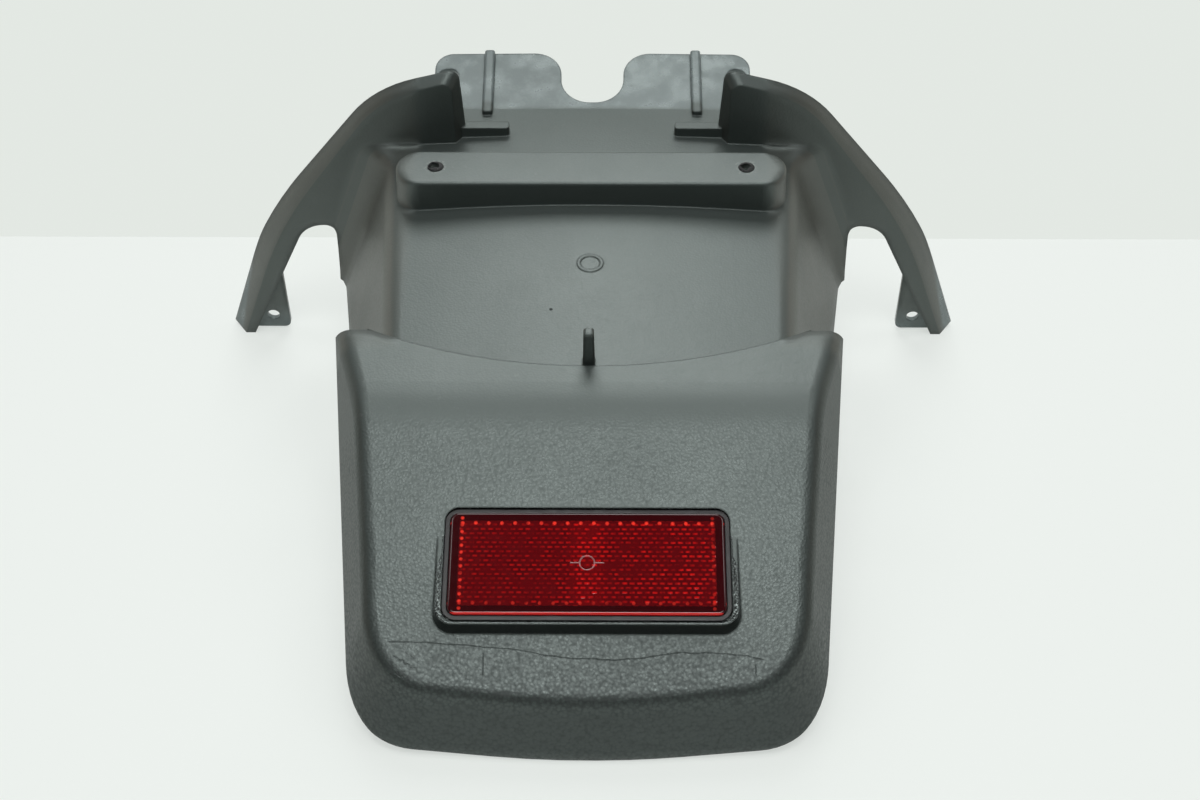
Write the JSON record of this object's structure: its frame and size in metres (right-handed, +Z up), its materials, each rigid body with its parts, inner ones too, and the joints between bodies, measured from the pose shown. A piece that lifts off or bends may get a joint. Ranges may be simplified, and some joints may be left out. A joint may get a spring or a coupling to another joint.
{
  "type": "motorcycle rear mudguard",
  "caption": "Black moulded scooter rear mudguard with plate panel, raised plate bar, arched side wings, bolted rear flange and a skirted flap carrying a red rectangular reflector.",
  "frame": {"origin": "middle of the plan on the ground it rests on", "axes": "+X to the right seen from the flap, +Y from the flap to the mounting flange, +Z up"},
  "size_m": [0.3386, 0.2961, 0.1443],
  "materials": {
    "mudguard_plastic": "grained black polypropylene",
    "housing_plastic": "smooth black",
    "lens_red": "polished red with prisms behind",
    "zinc_steel": "zinc plated"
  },
  "bodies": {
    "root": {"mudguard": "mudguard_plastic", "reflector_housing": "housing_plastic", "reflector_lens": "lens_red", "reflector_stud": "zinc_steel", "reflector_washer": "zinc_steel", "reflector_nut": "zinc_steel"}
  },
  "joints": []
}
